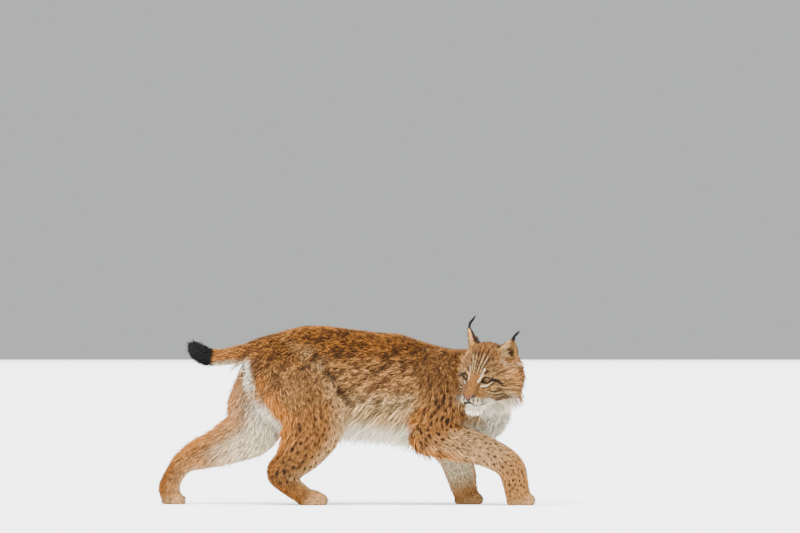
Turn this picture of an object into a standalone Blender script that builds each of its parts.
"""Eurasian lynx, a still life-size model: a young animal in winter coat that walks and looks back.

The body is modelled whole from lofted volumes, melted into one surface, and parted with thin cuts
into the nodes that a person would name. The head looks back over the right shoulder.

Metres. X runs from the tail to the chest, Y to the animal's left, Z up from the floor.
"""

import math
import random
from collections import namedtuple

import bmesh
import bpy
from mathutils import Matrix, Vector
from mathutils.bvhtree import BVHTree

# Joints between nodes
REGION_SWELL = 0.00055

# Edges shorter than the first length that leaves a surface closed are dissolved
DEGENERATE_EDGES = (0.00002, 0.000005, 0.000001, 0.0)

# Surface of the whole body
LOFT_STEPS = 6
LOFT_SIDES = 32
BODY_VOXEL = 0.0034
BODY_SMOOTHING = 22
BODY_TRIANGLES = 3800
FINE_VOXEL = 0.0022
FINE_SMOOTHING = 6
HEAD_TRIANGLES = 1950
PAW_TRIANGLES = 380

# Head: its frame has X forward, Y to its left, Z up, and its origin midway between the eyes
EYE_MIDPOINT = Vector((0.3645, -0.185, 0.357))
HEAD_YAW = math.radians(-121.0)
HEAD_PITCH = math.radians(18.0)
HEAD_ROLL = math.radians(-10.0)
HEAD_FRAME = (Matrix.Translation(EYE_MIDPOINT)
              @ Matrix.Rotation(HEAD_YAW, 4, "Z")
              @ Matrix.Rotation(HEAD_PITCH, 4, "Y")
              @ Matrix.Rotation(HEAD_ROLL, 4, "X"))
HEAD_BACK = -0.118

# Eyes
EYE_RADIUS = 0.0135
EYE_SPACING = 0.031
EYE_SETBACK = 0.0060
LID_THICKNESS = 0.0028
EYE_OPENING_LENGTH = 0.0132
EYE_OPENING_HEIGHT = 0.0092
EYE_SLANT = math.radians(18.0)
EYE_TURN_OUT = math.radians(14.0)

# Mouth and nostrils, in the head's frame, left side
LIP_GROOVE_RADIUS = 0.0014
LIP_LINE = [(0.0510, 0.000, -0.0585), (0.0492, 0.007, -0.0635), (0.0445, 0.018, -0.0680),
            (0.0345, 0.0285, -0.0690), (0.0235, 0.0345, -0.0665), (0.0135, 0.0380, -0.0615)]
NOSTRIL_CENTRE = (0.0540, 0.0080, -0.0400)
NOSTRIL_RADII = (0.0040, 0.0028, 0.0019)

# Ears, in the head's frame, left side
EAR_ROOT = Vector((-0.078, 0.042, 0.022))
EAR_TIP_LEFT = Vector((-0.084, 0.073, 0.094))
EAR_TIP_RIGHT = Vector((-0.086, -0.083, 0.106))
EAR_HALF_WIDTH = 0.037
EAR_TURN_OUT = math.radians(56.0)
EAR_RINGS = 7
EAR_SIDES = 12
EAR_SCOOP_START = 0.34
EAR_SCOOP_END = 0.95
EAR_TUFT_LENGTH = 0.038

# Paws
TOE_COUNT = 4
PAW_LENGTH = 0.088
PAW_HALF_WIDTH = 0.037
PAW_HEIGHT = 0.044
PAW_TOP = 0.058

# Where the legs leave the trunk
LEG_ROOT_INSET = 0.004
LEG_ROOT_LEAN = 0.115
LEG_REGION_WIDTH = 0.20
HINDLEG_RIGHT_OUTLINE = [(-0.240, 0.03), (-0.262, 0.30), (-0.235, 0.400), (-0.165, 0.445),
                         (-0.090, 0.430), (-0.020, 0.340), (0.010, 0.230), (-0.030, 0.03)]
HINDLEG_LEFT_OUTLINE = [(-0.560, 0.03), (-0.500, 0.20), (-0.345, 0.30), (-0.292, 0.385),
                        (-0.215, 0.435), (-0.130, 0.410), (-0.100, 0.250), (-0.200, 0.03)]
FORELEG_RIGHT_OUTLINE = [(0.140, 0.03), (0.140, 0.230), (0.165, 0.380), (0.225, 0.432),
                         (0.300, 0.400), (0.362, 0.310), (0.400, 0.225), (0.560, 0.17),
                         (0.560, 0.03)]
FORELEG_LEFT_OUTLINE = [(0.200, 0.03), (0.190, 0.250), (0.190, 0.380), (0.235, 0.425),
                        (0.305, 0.400), (0.362, 0.310), (0.385, 0.20), (0.420, 0.03)]

# Joint planes of neck and tail: a point and the direction that the part leaves in
NECK_BASE = Vector((0.338, -0.010, 0.332))
NECK_DIRECTION = Vector((0.97, -0.24, 0.0))
TAIL_BASE = Vector((-0.292, 0.0, 0.423))
TAIL_DIRECTION = Vector((-1.0, 0.0, -0.10))
TAIL_TIP_BASE = Vector((-0.386, 0.0, 0.414))
TAIL_TIP_DIRECTION = Vector((-0.93, 0.0, 0.36))

# Finishes: a colour and a roughness
COAT = ((0.52, 0.30, 0.14, 1.0), 0.9)
LEG_COAT = ((0.62, 0.34, 0.15, 1.0), 0.9)
BLACK_COAT = ((0.02, 0.018, 0.016, 1.0), 0.85)
AMBER = ((0.60, 0.36, 0.08, 1.0), 0.1)
NODE_FINISHES = {"eye": AMBER, "tail_tip": BLACK_COAT, "foreleg": LEG_COAT, "hindleg": LEG_COAT,
                 "forepaw": LEG_COAT, "hindpaw": LEG_COAT}

# One ring of a loft: its centre, and its half size sideways and in depth
Station = namedtuple("Station", "x y z side depth")
# One lock: the place near its root, the direction of its lie, its size, how far it starts off the
# surface, how much it droops, and the way its flat side faces
Growth = namedtuple("Growth", "place lie length width thickness lift droop face")
# One upright ring of the torso: its place along the body, its top, its bottom and its half width
Slice = namedtuple("Slice", "x top bottom half_width")

TORSO = [
    Slice(-0.283, 0.448, 0.375, 0.026),
    Slice(-0.262, 0.463, 0.325, 0.058),
    Slice(-0.225, 0.474, 0.275, 0.083),
    Slice(-0.170, 0.489, 0.232, 0.098),
    Slice(-0.115, 0.502, 0.210, 0.103),
    Slice(-0.050, 0.501, 0.201, 0.101),
    Slice(0.020, 0.492, 0.197, 0.103),
    Slice(0.095, 0.483, 0.193, 0.107),
    Slice(0.150, 0.479, 0.185, 0.106),
    Slice(0.215, 0.458, 0.168, 0.098),
    Slice(0.280, 0.441, 0.160, 0.086),
    Slice(0.340, 0.425, 0.164, 0.077),
    Slice(0.395, 0.395, 0.178, 0.065),
    Slice(0.435, 0.360, 0.200, 0.050),
    Slice(0.460, 0.320, 0.240, 0.026),
]

NECK = [
    Station(0.250, 0.000, 0.335, 0.084, 0.104),
    Station(0.325, -0.012, 0.337, 0.084, 0.099),
    Station(0.385, -0.042, 0.346, 0.082, 0.095),
    Station(0.424, -0.094, 0.362, 0.078, 0.088),
    Station(0.408, -0.132, 0.360, 0.052, 0.056),
]

TAIL = [
    Station(-0.235, 0.000, 0.425, 0.030, 0.032),
    Station(-0.275, 0.000, 0.424, 0.027, 0.030),
    Station(-0.315, 0.000, 0.419, 0.024, 0.026),
    Station(-0.355, 0.000, 0.413, 0.022, 0.024),
    Station(-0.390, 0.000, 0.415, 0.023, 0.026),
    Station(-0.418, 0.000, 0.431, 0.022, 0.025),
    Station(-0.434, 0.000, 0.448, 0.012, 0.014),
]

HINDLEG_RIGHT = [
    Station(-0.188, -0.040, 0.436, 0.016, 0.040),
    Station(-0.168, -0.060, 0.385, 0.042, 0.098),
    Station(-0.108, -0.074, 0.300, 0.050, 0.104),
    Station(-0.092, -0.082, 0.232, 0.046, 0.093),
    Station(-0.118, -0.080, 0.166, 0.040, 0.072),
    Station(-0.153, -0.075, 0.120, 0.033, 0.052),
    Station(-0.188, -0.070, 0.090, 0.027, 0.036),
    Station(-0.160, -0.070, 0.058, 0.027, 0.030),
    Station(-0.118, -0.070, 0.028, 0.030, 0.026),
]

HINDLEG_LEFT = [
    Station(-0.188, 0.040, 0.436, 0.016, 0.040),
    Station(-0.195, 0.060, 0.372, 0.042, 0.094),
    Station(-0.243, 0.072, 0.282, 0.050, 0.090),
    Station(-0.268, 0.080, 0.212, 0.046, 0.080),
    Station(-0.345, 0.078, 0.166, 0.038, 0.057),
    Station(-0.408, 0.074, 0.143, 0.031, 0.046),
    Station(-0.456, 0.070, 0.120, 0.026, 0.033),
    Station(-0.482, 0.070, 0.087, 0.026, 0.028),
    Station(-0.498, 0.070, 0.054, 0.029, 0.029),
    Station(-0.499, 0.070, 0.030, 0.030, 0.029),
]

FORELEG_RIGHT = [
    Station(0.236, -0.036, 0.418, 0.014, 0.040),
    Station(0.262, -0.052, 0.372, 0.040, 0.088),
    Station(0.278, -0.064, 0.310, 0.044, 0.082),
    Station(0.256, -0.078, 0.246, 0.044, 0.070),
    Station(0.226, -0.088, 0.197, 0.040, 0.056),
    Station(0.288, -0.088, 0.181, 0.036, 0.051),
    Station(0.361, -0.084, 0.161, 0.034, 0.045),
    Station(0.423, -0.079, 0.136, 0.033, 0.041),
    Station(0.462, -0.075, 0.104, 0.034, 0.039),
    Station(0.473, -0.074, 0.066, 0.034, 0.036),
    Station(0.480, -0.074, 0.030, 0.034, 0.034),
]

FORELEG_LEFT = [
    Station(0.236, 0.036, 0.418, 0.014, 0.040),
    Station(0.262, 0.052, 0.366, 0.038, 0.084),
    Station(0.290, 0.062, 0.306, 0.042, 0.076),
    Station(0.268, 0.078, 0.240, 0.042, 0.062),
    Station(0.282, 0.084, 0.180, 0.038, 0.048),
    Station(0.308, 0.080, 0.128, 0.036, 0.045),
    Station(0.322, 0.076, 0.088, 0.036, 0.043),
    Station(0.330, 0.075, 0.054, 0.036, 0.038),
    Station(0.336, 0.075, 0.030, 0.034, 0.034),
]

# One paw: the point on the floor under its heel, its pitch, its size and its leg
Paw = namedtuple("Paw", "heel pitch size stations")

PAWS = {
    "forepaw_right": Paw(Vector((0.476, -0.074, 0.0)), 0.0, 1.0, FORELEG_RIGHT),
    "forepaw_left": Paw(Vector((0.332, 0.075, 0.0)), 0.0, 1.0, FORELEG_LEFT),
    "hindpaw_right": Paw(Vector((-0.104, -0.070, 0.0)), 0.0, 1.0, HINDLEG_RIGHT),
    "hindpaw_left": Paw(Vector((-0.503, 0.070, 0.004)), math.radians(16.0), 0.88, HINDLEG_LEFT),
}

# Skull and cheeks, as rings across the head's own X axis
SKULL = [
    Slice(-0.128, 0.050, -0.066, 0.062),
    Slice(-0.104, 0.068, -0.078, 0.080),
    Slice(-0.078, 0.080, -0.084, 0.083),
    Slice(-0.050, 0.084, -0.088, 0.082),
    Slice(-0.026, 0.069, -0.089, 0.070),
    Slice(-0.006, 0.043, -0.088, 0.052),
    Slice(0.009, 0.017, -0.085, 0.042),
    Slice(0.024, -0.002, -0.080, 0.036),
    Slice(0.036, -0.017, -0.070, 0.030),
    Slice(0.045, -0.027, -0.058, 0.022),
]

# Rounded masses of the face: centre, then radii along the head's axes, both sides alike
FACE_MASSES = [
    ((0.031, 0.0190, -0.0530), (0.0190, 0.0180, 0.0160)),
    ((0.027, 0.0065, -0.0790), (0.0175, 0.0155, 0.0145)),
    ((0.0465, 0.0070, -0.0365), (0.0090, 0.0092, 0.0080)),
    ((0.0485, 0.0010, -0.0450), (0.0070, 0.0060, 0.0085)),
    ((-0.020, 0.0270, 0.0120), (0.0180, 0.0240, 0.0130)),
    ((-0.036, 0.0420, -0.0340), (0.0420, 0.0270, 0.0320)),
]

# Locks of long coat: flat, tapered, bending pieces, rooted in their node
LOCK_SINK = 0.006
LOCK_TAPER = ((0.85, 1.0), (1.0, 0.9), (0.74, 0.6), (0.20, 0.18))
LOCK_RIDE = 0.22
LOCK_CLEARANCE = 0.0012
ROOT_CLEARANCE = 0.0005
LOCK_LENGTHS_TRIED = (1.0, 0.75, 0.5)
LOCK_SEED = 11
RUFF_ROWS = ((-0.030, 0.078, 0.084, 9), (-0.054, 0.082, 0.086, 11), (-0.078, 0.080, 0.082, 11))
# Locks along one edge of a leg: its node, a line near the edge, how many, their lie and their size
Fringe = namedtuple("Fringe", "leg line count lie size")

LEG_FRINGES = [
    Fringe("hindleg_right", [(-0.250, -0.104, 0.345), (-0.228, -0.108, 0.280),
                             (-0.204, -0.104, 0.230), (-0.222, -0.090, 0.165),
                             (-0.240, -0.080, 0.135)], 8, (-0.35, 0.05, -0.95),
           (0.034, 0.030, 0.011)),
    Fringe("hindleg_left", [(-0.340, 0.093, 0.268), (-0.365, 0.090, 0.230),
                            (-0.420, 0.080, 0.185), (-0.470, 0.072, 0.155)], 6,
           (-0.72, 0.0, -0.68), (0.034, 0.030, 0.011)),
    Fringe("foreleg_right", [(0.180, -0.112, 0.222), (0.182, -0.108, 0.185),
                             (0.210, -0.100, 0.150)], 4, (-0.10, 0.05, -1.0),
           (0.022, 0.028, 0.010)),
    Fringe("foreleg_left", [(0.225, 0.100, 0.205), (0.255, 0.090, 0.145)], 3,
           (-0.10, 0.0, -1.0), (0.022, 0.026, 0.010)),
]


def bake(obj):
    """Replace an object's mesh with the one its modifiers give, and drop the modifiers."""
    depsgraph = bpy.context.evaluated_depsgraph_get()
    mesh = bpy.data.meshes.new_from_object(obj.evaluated_get(depsgraph))
    obj.modifiers.clear()
    obj.data = mesh
    return obj


def link(name, mesh):
    """Put a mesh into the scene as an object."""
    obj = bpy.data.objects.new(name, mesh)
    bpy.context.scene.collection.objects.link(obj)
    return obj


def discard(obj):
    """Take a helper out of the scene."""
    bpy.data.objects.remove(obj, do_unlink=True)


def closed_rings(name, rings):
    """Skin a list of rings, each a list of points, and close both ends."""
    shape = bmesh.new()
    loops = [[shape.verts.new(point) for point in ring] for ring in rings]
    for near, far in zip(loops, loops[1:]):
        for index in range(len(near)):
            after = (index + 1) % len(near)
            shape.faces.new((near[index], near[after], far[after], far[index]))
    shape.faces.new(loops[0])
    shape.faces.new(loops[-1])
    bmesh.ops.triangulate(shape, faces=shape.faces)
    bmesh.ops.recalc_face_normals(shape, faces=shape.faces)
    mesh = bpy.data.meshes.new(name)
    shape.to_mesh(mesh)
    shape.free()
    return link(name, mesh)


def eased(values, steps):
    """Read a smooth curve through rows of numbers, with extra rows between them."""
    rows = []
    count = len(values)
    for index in range(count - 1):
        before = values[max(index - 1, 0)]
        start = values[index]
        end = values[index + 1]
        after = values[min(index + 2, count - 1)]
        for step in range(steps):
            t = step / steps
            rows.append([
                0.5 * (2 * b + (c - a) * t + (2 * a - 5 * b + 4 * c - d) * t ** 2
                       + (3 * b - 3 * c + d - a) * t ** 3)
                for a, b, c, d in zip(before, start, end, after)])
    rows.append(list(values[-1]))
    return rows


def oval(centre, side, up, egg=0.0):
    """Points round an ellipse with the given half axes; egg narrows its upper half."""
    points = []
    for index in range(LOFT_SIDES):
        angle = 2 * math.pi * index / LOFT_SIDES
        pinch = 1 - egg * math.sin(angle)
        points.append(centre + side * math.cos(angle) * pinch + up * math.sin(angle))
    return points


def sliced_body(name, slices, egg, frame=None):
    """Loft upright rings along X, for the torso and for the skull in the head's frame."""
    rings = []
    for x, top, bottom, half_width in eased(slices, LOFT_STEPS):
        centre = Vector((x, 0, (top + bottom) / 2))
        up = Vector((0, 0, (top - bottom) / 2))
        rings.append(oval(centre, Vector((0, half_width, 0)), up, egg))
    obj = closed_rings(name, rings)
    if frame:
        obj.data.transform(frame)
    return obj


def limb(name, stations, across, swell=0.0):
    """Loft rings square to a bending line; across is the direction that side sizes are measured in."""
    rows = eased(stations, LOFT_STEPS)
    centres = [Vector(row[:3]) for row in rows]
    rings = []
    for index, row in enumerate(rows):
        ahead = centres[min(index + 1, len(rows) - 1)]
        behind = centres[max(index - 1, 0)]
        along = (ahead - behind).normalized()
        side = (across - along * across.dot(along)).normalized()
        up = along.cross(side)
        rings.append(oval(centres[index], side * (row[3] + swell), up * (row[4] + swell)))
    return closed_rings(name, rings)


def ball(name, centre, radii, frame=None, segments=24, rings=14):
    """An ellipsoid with its axes along the frame's."""
    shape = bmesh.new()
    bmesh.ops.create_uvsphere(shape, u_segments=segments, v_segments=rings, radius=1.0)
    place = (frame or Matrix()) @ Matrix.Translation(centre) @ Matrix.Diagonal((*radii, 1.0))
    bmesh.ops.transform(shape, matrix=place, verts=shape.verts)
    mesh = bpy.data.meshes.new(name)
    shape.to_mesh(mesh)
    shape.free()
    return link(name, mesh)


def block(name, frame, low, high):
    """A box between two corners given in a frame."""
    shape = bmesh.new()
    bmesh.ops.create_cube(shape, size=1.0)
    size = Vector(high) - Vector(low)
    middle = (Vector(high) + Vector(low)) / 2
    place = frame @ Matrix.Translation(middle) @ Matrix.Diagonal((*size, 1.0))
    bmesh.ops.transform(shape, matrix=place, verts=shape.verts)
    mesh = bpy.data.meshes.new(name)
    shape.to_mesh(mesh)
    shape.free()
    return link(name, mesh)


def join(name, objects):
    """Join meshes into one object without fusing them."""
    shape = bmesh.new()
    for obj in objects:
        shape.from_mesh(obj.data)
        discard(obj)
    mesh = bpy.data.meshes.new(name)
    shape.to_mesh(mesh)
    shape.free()
    return link(name, mesh)


def boolean(obj, operation, operand, solver="EXACT"):
    """Cut, fuse or intersect with a closed mesh, or with all the meshes of a collection.

    Only the largest closed surface of the result is kept.
    """
    modifier = obj.modifiers.new(operation, "BOOLEAN")
    modifier.operation = operation
    modifier.solver = solver
    if isinstance(operand, bpy.types.Collection):
        modifier.operand_type = "COLLECTION"
        modifier.collection = operand
    else:
        modifier.object = operand
    bake(obj)
    keep_largest(obj)


def keep_largest(obj):
    """Keep only the largest closed surface of a mesh, in triangles, without needless slivers."""
    for smallest in DEGENERATE_EDGES:
        shape = bmesh.new()
        shape.from_mesh(obj.data)
        bmesh.ops.dissolve_degenerate(shape, dist=smallest, edges=shape.edges)
        bmesh.ops.triangulate(shape, faces=shape.faces)
        if all(len(edge.link_faces) == 2 for edge in shape.edges):
            break
    islands = []
    unseen = set(shape.verts)
    while unseen:
        front = [unseen.pop()]
        island = set(front)
        while front:
            vert = front.pop()
            for edge in vert.link_edges:
                other = edge.other_vert(vert)
                if other in unseen:
                    unseen.remove(other)
                    island.add(other)
                    front.append(other)
        islands.append(island)
    largest = max(islands, key=len)
    spare = [vert for vert in shape.verts if vert not in largest]
    bmesh.ops.delete(shape, geom=spare, context="VERTS")
    shape.to_mesh(obj.data)
    shape.free()


def copy_of(obj, name):
    """A copy with a mesh of its own."""
    return link(name, obj.data.copy())


def swollen(obj, name, amount):
    """A copy pushed out along its normals."""
    copy = copy_of(obj, name)
    shape = bmesh.new()
    shape.from_mesh(copy.data)
    shape.normal_update()
    moved = [(vert, vert.co + vert.normal * amount) for vert in shape.verts]
    for vert, place in moved:
        vert.co = place
    shape.to_mesh(copy.data)
    shape.free()
    return copy


def part_off(whole, name, region):
    """Take the stretch inside a region off the whole as its own node, leaving the joint gap.

    The exact solver loses the melted surfaces, so all their cuts use the manifold one.
    """
    piece = copy_of(whole, name)
    boolean(piece, "INTERSECT", region, "MANIFOLD")
    cut(whole, swollen(region, name + "_cutter", REGION_SWELL), "MANIFOLD")
    discard(region)
    return piece


def cut(obj, cutter, solver="EXACT"):
    """Cut a shape out of an object and drop the cutter."""
    boolean(obj, "DIFFERENCE", cutter, solver)
    discard(cutter)


def paw_masses(paw):
    """Ball and toes of one paw."""
    frame = Matrix.Translation(paw.heel) @ Matrix.Rotation(paw.pitch, 4, "Y")
    length = PAW_LENGTH * paw.size
    ball_radii = (length * 0.42, PAW_HALF_WIDTH * 0.92, PAW_HEIGHT * 0.62)
    masses = [ball("paw", (length * 0.10, 0, PAW_HEIGHT * 0.38), ball_radii, frame)]
    toe_radii = (length * 0.235, PAW_HALF_WIDTH / TOE_COUNT * 1.22, PAW_HEIGHT * 0.44)
    for index in range(TOE_COUNT):
        across = (index - (TOE_COUNT - 1) / 2) / (TOE_COUNT / 2)
        reach = length * (0.40 - 0.10 * across * across)
        centre = (reach, across * PAW_HALF_WIDTH * 0.98, PAW_HEIGHT * 0.34)
        masses.append(ball("toe", centre, toe_radii, frame))
    return masses


def build_paw(name, paw):
    """One paw with the end of its leg, flat on the floor and flat where it meets the leg."""
    leg_end = limb("leg_end", paw.stations[-4:], Vector((0, 1, 0)))
    node = melted(name, [leg_end] + paw_masses(paw), FINE_VOXEL, FINE_SMOOTHING, PAW_TRIANGLES)
    reach = Vector((0.16, 0.10, 0.0))
    corner = Vector((paw.heel.x, paw.heel.y, 0.0))
    slab = block("slab", Matrix(), corner - reach, corner + reach + Vector((0, 0, PAW_TOP)))
    boolean(node, "INTERSECT", slab, "MANIFOLD")
    discard(slab)
    return node


def face_masses():
    """Whisker pads, chin, nose, brows and cheeks."""
    masses = []
    for centre, radii in FACE_MASSES:
        for side in (-1, 1):
            place = (centre[0], centre[1] * side, centre[2])
            masses.append(ball("face", place, radii, HEAD_FRAME))
    return masses


def eye_frame(side):
    """The frame of one eyeball, with X looking out of the head."""
    centre = Vector((-EYE_SETBACK, EYE_SPACING * side, 0))
    return (HEAD_FRAME @ Matrix.Translation(centre)
            @ Matrix.Rotation(EYE_TURN_OUT * side, 4, "Z")
            @ Matrix.Rotation(EYE_SLANT * side, 4, "X"))


def lid_masses():
    """The lids, as thin shells that hug the eyeballs before the openings are cut."""
    radius = EYE_RADIUS + LID_THICKNESS
    return [ball("lid", (0, 0, 0), (radius, radius, radius), eye_frame(side)) for side in (-1, 1)]


def body_masses():
    """The volumes of the body that end inside the head and the paws."""
    across = Vector((0, 1, 0))
    masses = [
        sliced_body("torso", TORSO, 0.14),
        neck_mass(),
        limb("tail", TAIL, across),
        ball("tail", (-0.424, 0, 0.437), (0.021, 0.020, 0.021)),
    ]
    for stations in (HINDLEG_RIGHT, HINDLEG_LEFT, FORELEG_RIGHT, FORELEG_LEFT):
        masses.append(limb("leg", stations, across))
    return masses


def neck_mass():
    """The neck, bending from the shoulders towards the animal's right."""
    turned = [Station(s.x, s.y, s.z, s.depth, s.side) for s in NECK]
    return limb("neck", turned, Vector((0, 0, 1)))


def melted(name, masses, voxel, smoothing, triangles):
    """Melt overlapping volumes into one relaxed surface with about so many triangles."""
    melt = join(name, masses)
    remesh = melt.modifiers.new("Melt", "REMESH")
    remesh.mode = "VOXEL"
    remesh.voxel_size = voxel
    bake(melt)
    relax = melt.modifiers.new("Relax", "SMOOTH")
    relax.factor = 0.5
    relax.iterations = smoothing
    split = melt.modifiers.new("Split", "TRIANGULATE")
    split.min_vertices = 4
    bake(melt)
    lighten = melt.modifiers.new("Lighten", "DECIMATE")
    lighten.ratio = triangles / len(melt.data.polygons)
    lighten.use_collapse_triangulate = True
    return bake(melt)


def build_head():
    """The head: melted masses, flat at the back, with eyes, lids, lips and nostrils cut in."""
    masses = [sliced_body("skull", SKULL, 0.22, HEAD_FRAME), neck_mass()]
    head = melted("head", masses + face_masses() + lid_masses(), FINE_VOXEL, FINE_SMOOTHING,
                  HEAD_TRIANGLES)
    front = block("front", HEAD_FRAME, (HEAD_BACK, -0.2, -0.2), (0.2, 0.2, 0.2))
    boolean(head, "INTERSECT", front, "MANIFOLD")
    discard(front)
    return head


def carve_face(head):
    """Cut the eye sockets and openings, the line of the mouth and the nostrils."""
    radius = EYE_RADIUS + REGION_SWELL
    cutters = [lip_groove()]
    for side in (-1, 1):
        nostril = (NOSTRIL_CENTRE[0], NOSTRIL_CENTRE[1] * side, NOSTRIL_CENTRE[2])
        cutters.append(ball("nostril", nostril, NOSTRIL_RADII, HEAD_FRAME, 8, 5))
        cutters.append(eye_opening(side))
        cutters.append(ball("socket", (0, 0, 0), (radius, radius, radius), eye_frame(side), 16, 10))
    for cutter in cutters:
        cut(head, cutter, "MANIFOLD")


def eye_opening(side):
    """A lens-shaped prism that opens the lids in front of one eyeball."""
    steps = 6
    outline = []
    for index in range(steps):
        t = -1 + 2 * index / steps
        outline.append((t, 1 - t * t))
    for index in range(steps):
        t = 1 - 2 * index / steps
        outline.append((t, -0.8 * (1 - t * t)))
    rings = []
    for reach in (0.0, 0.035):
        rings.append([Vector((reach, t * EYE_OPENING_LENGTH, height * EYE_OPENING_HEIGHT))
                      for t, height in outline])
    opening = closed_rings("opening", rings)
    opening.data.transform(eye_frame(side))
    return opening


def lip_groove():
    """A thin tube along both lips, which leaves the line of the mouth."""
    left = [Vector(point) for point in LIP_LINE]
    right = [Vector((point.x, -point.y, point.z)) for point in reversed(left[1:])]
    rows = eased([tuple(point) for point in right + left], 2)
    centres = [Vector(row) for row in rows]
    rings = []
    for index, centre in enumerate(centres):
        ahead = centres[min(index + 1, len(centres) - 1)]
        behind = centres[max(index - 1, 0)]
        along = (ahead - behind).normalized()
        up = Vector((0, 0, 1))
        out = along.cross(up).normalized()
        rings.append([centre + (out * math.cos(angle) * 2.2 + up * math.sin(angle))
                      * LIP_GROOVE_RADIUS
                      for angle in (2 * math.pi * k / 5 for k in range(5))])
    groove = closed_rings("groove", rings)
    groove.data.transform(HEAD_FRAME)
    return groove


def ear_frame(side):
    """The frame of one ear, with Z from root to tip and X out of the cup."""
    root = Vector((EAR_ROOT.x, EAR_ROOT.y * side, EAR_ROOT.z))
    tip = EAR_TIP_LEFT if side > 0 else EAR_TIP_RIGHT
    up = (tip - root).normalized()
    opening = Vector((math.cos(EAR_TURN_OUT), math.sin(EAR_TURN_OUT) * side, 0))
    out = (opening - up * opening.dot(up)).normalized()
    across = up.cross(out)
    turn = Matrix((out, across, up)).transposed().to_4x4()
    return HEAD_FRAME @ Matrix.Translation(root) @ turn, (tip - root).length


def ear_outline(t):
    """Half width of the ear at a share of its length, as a part of its greatest half width."""
    broad = 0.80 + 0.20 * math.sin(min(t / 0.45, 1.0) * math.pi / 2)
    return max(broad * (1 - t ** 2.6) ** 0.85, 0.06)


def ear_loft(name, side, start, end, narrower, shift, fullness):
    """Loft ovals up one ear; the outer body and the scoop of its cup differ in their sizes."""
    frame, length = ear_frame(side)
    rings = []
    for index in range(EAR_RINGS + 1):
        t = start + (end - start) * index / EAR_RINGS
        half = EAR_HALF_WIDTH * ear_outline(t)
        depth = 0.46 * half + 0.0018
        lean = -0.010 * t * t
        centre = Vector((lean + shift * depth, 0, t * length))
        points = []
        for k in range(EAR_SIDES):
            angle = 2 * math.pi * k / EAR_SIDES
            points.append(centre + Vector((math.cos(angle) * depth * fullness,
                                           math.sin(angle) * (half - narrower), 0)))
        rings.append(points)
    ear = closed_rings(name, rings)
    ear.data.transform(frame)
    return ear


def build_ear(head, name, side):
    """One ear: a leaf-shaped body let into the head, with its cup scooped out."""
    ear = ear_loft(name, side, 0.0, 1.0, 0.0, 0.0, 1.0)
    socket = swollen(ear, "socket", REGION_SWELL)
    cut(head, socket, "MANIFOLD")
    cut(ear, ear_loft("scoop", side, EAR_SCOOP_START, EAR_SCOOP_END, 0.0032, 0.62, 1.22))
    return ear


def build_eye(name, side):
    """One eyeball."""
    radii = (EYE_RADIUS, EYE_RADIUS, EYE_RADIUS)
    return ball(name, (0, 0, 0), radii, eye_frame(side), 16, 10)


def surface_tree(obj):
    """A search tree of an object's surface."""
    shape = bmesh.new()
    shape.from_mesh(obj.data)
    tree = BVHTree.FromBMesh(shape)
    shape.free()
    return tree


def crosses(start, end, trees):
    """Whether the way between two points meets another node."""
    way = end - start
    return any(tree.ray_cast(start, way, way.length)[0] for tree in trees)


def is_clear(root, rings, trees):
    """Whether a lock keeps clear of other nodes all along."""
    centres = [sum(ring, Vector()) / len(ring) for ring in rings]
    for centre, ahead in zip([root] + centres, centres):
        if crosses(centre, ahead, trees):
            return False
    for index, ring in enumerate(rings):
        clearance = LOCK_CLEARANCE if index else ROOT_CLEARANCE
        for point in ring:
            if crosses(centres[index], point, trees):
                return False
            if any(tree.find_nearest(point)[3] < clearance for tree in trees):
                return False
    return True


def lifted(point, own, height):
    """Raise a point of a lock's path to a height over its own node, if it lies lower."""
    nearest, normal, _, _ = own.find_nearest(point)
    level = (point - nearest).dot(normal)
    if level < height:
        point = point + normal * (height - level)
    return point


def lock_rings(root, normal, growth, length, own):
    """The rings of one lock: a flat tapered blade that bends with its lie."""
    lie = growth.lie.normalized()
    heading = (lie + normal * growth.lift).normalized()
    side = (growth.face or normal).cross(heading).normalized()
    centre = root - (normal + heading).normalized() * LOCK_SINK
    rings = []
    for index, (share, thinning) in enumerate(LOCK_TAPER):
        across = side * (growth.width * share / 2)
        up = heading.cross(side) * (growth.thickness * thinning / 2)
        rings.append([centre + across, centre - up, centre - across, centre + up])
        step = length / (len(LOCK_TAPER) - 1) + (LOCK_SINK if index == 0 else 0)
        centre = lifted(centre + heading * step, own, growth.thickness * LOCK_RIDE)
        heading = (heading + lie * 0.35 + Vector((0, 0, -growth.droop))).normalized()
        side = (side - heading * side.dot(heading)).normalized()
    return rings


def grow_locks(node, growths, others):
    """Root locks on a node and fuse them with it; those too near another node are cut short."""
    own = surface_tree(node)
    trees = [surface_tree(other) for other in others]
    bundle = bpy.data.collections.new(node.name + "_locks")
    for growth in growths:
        root, normal, _, _ = own.find_nearest(growth.place)
        for share in LOCK_LENGTHS_TRIED:
            rings = lock_rings(root, normal, growth, growth.length * share, own)
            if is_clear(root, rings, trees):
                piece = closed_rings("lock", rings)
                bpy.context.scene.collection.objects.unlink(piece)
                bundle.objects.link(piece)
                break
    fuse(node, bundle)


def fuse(node, bundle):
    """Fuse a collection of closed pieces with a node and drop them."""
    boolean(node, "UNION", bundle, "MANIFOLD")
    for piece in list(bundle.objects):
        discard(piece)
    bpy.data.collections.remove(bundle)


def growth(place, lie, size, lift, droop, chance, face=None):
    """A lock with its size a little off the given length, width and thickness."""
    length, width, thickness = (value * chance.uniform(0.84, 1.16) for value in size)
    return Growth(Vector(place), Vector(lie), length, width, thickness, lift, droop, face)


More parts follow.
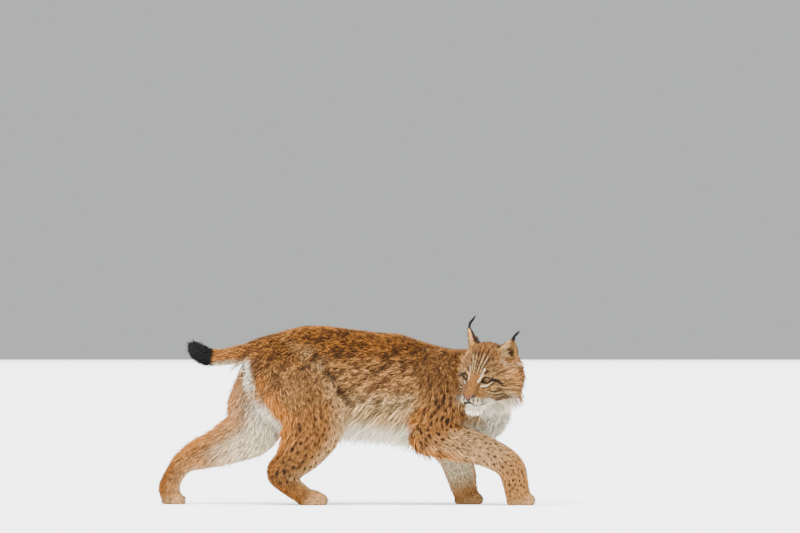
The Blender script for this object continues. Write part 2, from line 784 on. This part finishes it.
def ruff_growths(chance):
    """Rows of locks round the cheeks and the jaw, lying back and down."""
    to_world = HEAD_FRAME.to_3x3()
    growths = []
    for x, half_width, below, count in RUFF_ROWS:
        for index in range(count):
            angle = math.radians(14.0) - math.radians(208.0) * (index + 0.5) / count
            angle += chance.uniform(-0.05, 0.05)
            place = Vector((x, half_width * math.cos(angle), below * math.sin(angle)))
            low = max(0.0, -math.sin(angle))
            lie = Vector((-0.80, 0.22 * math.cos(angle), -0.50 - 0.10 * low))
            size = (0.032 + 0.010 * low, 0.030, 0.012)
            growths.append(growth(HEAD_FRAME @ place, to_world @ lie, size, 0.12, 0.08, chance))
    return growths


def belly_growths(chance):
    """Rows of hanging locks under the belly and down the front of the chest."""
    growths = []
    size = (0.034, 0.034, 0.012)
    for row, across in enumerate((-0.050, -0.014, 0.034)):
        for index in range(9):
            x = -0.045 + 0.026 * index + 0.009 * row + chance.uniform(-0.003, 0.003)
            face = Vector((0.1, -1 if across < 0 else 1, -0.2))
            growths.append(growth((x, across, 0.15), (-0.60, 0.0, -0.80), size, 0.10, 0.0, chance,
                                  face))
    for across in (-0.026, 0.0, 0.026):
        growths.append(growth((0.47, across, 0.215), (-0.20, 0.0, -1.0), size, 0.10, 0.1, chance))
    return growths


def edge_growths(fringe, chance):
    """Locks spread along a line of points, such as the back edge of a thigh."""
    rows = eased(fringe.line, 8)
    growths = []
    for index in range(fringe.count):
        spot = round((index + 0.5) / fringe.count * (len(rows) - 1))
        wander = Vector([chance.uniform(-0.004, 0.004) for _ in range(3)])
        growths.append(growth(Vector(rows[spot]) + wander, fringe.lie, fringe.size, 0.10, 0.0,
                              chance))
    return growths


def tail_tip_growths(chance):
    """A short brush round the end of the tail."""
    growths = []
    for index in range(6):
        angle = 2 * math.pi * index / 6
        place = (-0.436, 0.030 * math.cos(angle), 0.440 + 0.030 * math.sin(angle))
        lie = (-0.65, 0.12 * math.cos(angle), 0.75)
        growths.append(growth(place, lie, (0.015, 0.022, 0.012), 0.15, 0.0, chance))
    return growths


def grow_ear_tuft(ear, side):
    """The upright tuft at an ear's tip: a few long locks that bend outwards."""
    frame, length = ear_frame(side)
    tip = frame @ Vector((-0.009, 0, length * 0.93))
    turn = frame.to_3x3()
    bundle = bpy.data.collections.new("tuft")
    for lean, share in ((0.0, 1.0), (0.16, 0.78), (-0.14, 0.66)):
        reach = EAR_TUFT_LENGTH * share
        rings = []
        for index in range(5):
            t = index / 4
            drop = Vector((-0.10 * t * t, lean * t, t)) * reach + Vector((0, -0.006 * side * t * t, 0))
            radius = 0.0036 * (1 - t) ** 0.7 + 0.0005
            centre = tip + turn @ drop
            rings.append([centre + turn @ Vector((math.cos(a) * radius, math.sin(a) * radius, 0))
                          for a in (math.pi / 2 * k for k in range(4))])
        piece = closed_rings("tuft_lock", rings)
        bpy.context.scene.collection.objects.unlink(piece)
        bundle.objects.link(piece)
    fuse(ear, bundle)


def finish(obj):
    """Give a node its material and smooth shading."""
    colour, roughness = COAT
    for start, look in NODE_FINISHES.items():
        if obj.name.startswith(start):
            colour, roughness = look
    material = bpy.data.materials.new(obj.name)
    material.use_nodes = True
    shader = material.node_tree.nodes["Principled BSDF"]
    shader.inputs["Base Color"].default_value = colour
    shader.inputs["Roughness"].default_value = roughness
    obj.data.materials.clear()
    obj.data.materials.append(material)
    obj.data.shade_smooth()


def stand_on_origin(nodes):
    """Move all nodes so that the origin lies on the floor under the middle of the animal."""
    corners = [vert.co for node in nodes for vert in node.data.vertices]
    low = Vector([min(corner[axis] for corner in corners) for axis in range(3)])
    high = Vector([max(corner[axis] for corner in corners) for axis in range(3)])
    middle = (low + high) / 2
    for node in nodes:
        node.data.transform(Matrix.Translation((-middle.x, -middle.y, -low.z)))


def leg_region(outline, side):
    """The volume that holds one leg: a side outline, drawn out sideways from a leaning plane."""
    rings = []
    for outward in (False, True):
        ring = []
        for x, z in outline:
            inset = LEG_REGION_WIDTH if outward else LEG_ROOT_INSET + LEG_ROOT_LEAN * z
            ring.append(Vector((x, side * inset, z)))
        rings.append(ring)
    return closed_rings("leg_region", rings)


def beyond(point, direction, reach, low, high):
    """A block that starts at a joint plane and holds what lies beyond it."""
    across = Vector((0, 1, 0))
    along = direction.normalized()
    across = (across - along * across.dot(along)).normalized()
    up = along.cross(across)
    frame = Matrix.Translation(point) @ Matrix((along, across, up)).transposed().to_4x4()
    if up.z < 0:
        frame = frame @ Matrix.Rotation(math.pi, 4, "X")
    return block("beyond", frame, (0, -reach, low), (2 * reach, reach, high))


def part_body(body):
    """Part the body into legs, neck and tail; what is left is the torso."""
    below = block("below", Matrix(), (-1, -1, -1), (1, 1, PAW_TOP + REGION_SWELL))
    cut(body, below, "MANIFOLD")
    part_off(body, "hindleg_right", leg_region(HINDLEG_RIGHT_OUTLINE, -1))
    part_off(body, "hindleg_left", leg_region(HINDLEG_LEFT_OUTLINE, 1))
    part_off(body, "foreleg_right", leg_region(FORELEG_RIGHT_OUTLINE, -1))
    part_off(body, "foreleg_left", leg_region(FORELEG_LEFT_OUTLINE, 1))
    part_off(body, "neck", beyond(NECK_BASE, NECK_DIRECTION, 0.16, -0.105, 0.16))
    tail = part_off(body, "tail", beyond(TAIL_BASE, TAIL_DIRECTION, 0.12, -0.036, 0.10))
    part_off(tail, "tail_tip", beyond(TAIL_TIP_BASE, TAIL_TIP_DIRECTION, 0.06, -0.06, 0.06))
    body.name = "torso"


def grow_coat():
    """Set the long locks of ruff, belly, chest, thighs, elbows and tail tip."""
    chance = random.Random(LOCK_SEED)
    part = bpy.data.objects
    grow_locks(part["head"], ruff_growths(chance),
               [part[name] for name in ("neck", "torso", "foreleg_right", "ear_left", "ear_right")])
    grow_locks(part["torso"], belly_growths(chance),
               [part[name] for name in ("hindleg_left", "hindleg_right", "foreleg_left",
                                        "foreleg_right", "neck", "head")])
    for fringe in LEG_FRINGES:
        grow_locks(part[fringe.leg], edge_growths(fringe, chance),
                   [part["torso"], part[fringe.leg.replace("leg", "paw")]])
    grow_locks(part["tail_tip"], tail_tip_growths(chance), [part["tail"]])


def main():
    """Build the animal from the whole body down to its nodes."""
    for obj in list(bpy.data.objects):
        bpy.data.objects.remove(obj, do_unlink=True)
    body = melted("torso", body_masses(), BODY_VOXEL, BODY_SMOOTHING, BODY_TRIANGLES)
    head = build_head()
    cut(body, swollen(head, "head_cutter", REGION_SWELL), "MANIFOLD")
    part_body(body)
    for name, paw in PAWS.items():
        build_paw(name, paw)
    for name, side in (("ear_left", 1), ("ear_right", -1)):
        grow_ear_tuft(build_ear(head, name, side), side)
    carve_face(head)
    build_eye("eye_left", 1)
    build_eye("eye_right", -1)
    grow_coat()
    nodes = list(bpy.context.scene.objects)
    stand_on_origin(nodes)
    for node in nodes:
        finish(node)


main()
